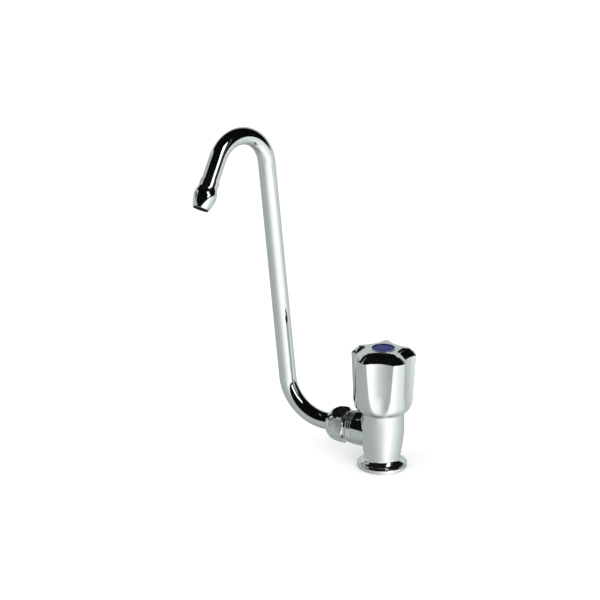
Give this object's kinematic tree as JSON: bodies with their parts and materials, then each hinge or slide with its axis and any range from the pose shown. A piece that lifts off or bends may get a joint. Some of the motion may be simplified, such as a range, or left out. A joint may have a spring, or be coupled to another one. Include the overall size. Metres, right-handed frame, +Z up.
{
  "type": "swivel spout tap",
  "caption": "Chromed cold-water tap: fluted knob over a round-flanged body, and a tall hooked spout held in a side outlet by a union nut, which folds down sideways.",
  "frame": {"origin": "centre of the flange's underside, on the body's axis", "axes": "+Z up along the body's and the knob's axis; the side outlet and the spout run along -X, the spout's lower bend turns up in the XZ plane, and its hook is turned 72 degrees from that plane towards -Y"},
  "size_m": [0.1367, 0.0865, 0.2346],
  "materials": {
    "valve_body": "polished chrome plate over brass",
    "base_seal": "matte black rubber",
    "bonnet": "machined brass",
    "bonnet_gasket": "red vulcanised fibre",
    "union_nut": "polished chrome plate over brass",
    "inner_slip_washer": "white acetal",
    "outer_slip_washer": "white acetal",
    "handle_knob": "polished chrome plate",
    "index_disc": "dark blue glossy plastic",
    "handle_screw": "bright steel",
    "spindle": "machined brass",
    "lower_spindle_ring": "matte black rubber",
    "upper_spindle_ring": "matte black rubber",
    "thrust_washer": "white acetal",
    "spindle_circlip": "spring steel",
    "valve_carrier": "machined brass",
    "seat_washer": "matte black rubber",
    "washer_screw": "machined brass",
    "spout_tube": "polished chrome plate over brass tube",
    "spout_ferrule": "machined brass",
    "inner_spout_ring": "matte black rubber",
    "outer_spout_ring": "matte black rubber",
    "nozzle": "polished chrome plate over brass",
    "flow_straightener": "black plastic"
  },
  "bodies": {
    "tap_body": {"valve_body": "valve_body", "base_seal": "base_seal", "bonnet": "bonnet", "bonnet_gasket": "bonnet_gasket", "union_nut": "union_nut", "inner_slip_washer": "inner_slip_washer", "outer_slip_washer": "outer_slip_washer"},
    "knob": {"handle_knob": "handle_knob", "index_disc": "index_disc", "handle_screw": "handle_screw", "spindle": "spindle", "lower_spindle_ring": "lower_spindle_ring", "upper_spindle_ring": "upper_spindle_ring", "thrust_washer": "thrust_washer", "spindle_circlip": "spindle_circlip"},
    "carrier": {"valve_carrier": "valve_carrier", "seat_washer": "seat_washer", "washer_screw": "washer_screw"},
    "spout": {"spout_tube": "spout_tube", "spout_ferrule": "spout_ferrule", "inner_spout_ring": "inner_spout_ring", "outer_spout_ring": "outer_spout_ring", "nozzle": "nozzle", "flow_straightener": "flow_straightener"}
  },
  "joints": [
    {"name": "knob_turn", "type": "hinge", "parent": "tap_body", "child": "knob", "pos_m": [0, 0, 0], "axis": [0, 0, 1], "range_deg": [0, 540]},
    {"name": "carrier_lift", "type": "slide", "parent": "tap_body", "child": "carrier", "axis": [0, 0, 1], "range_m": [0, 0.0038]},
    {"name": "spout_swivel", "type": "hinge", "parent": "tap_body", "child": "spout", "pos_m": [-0.03, 0, 0.0245], "axis": [1, 0, 0], "range_deg": [-90, 90]}
  ],
  "couplings": [
    {"joint": "carrier_lift", "follows": "knob_turn", "m_per_rad": 0.00039789}
  ]
}
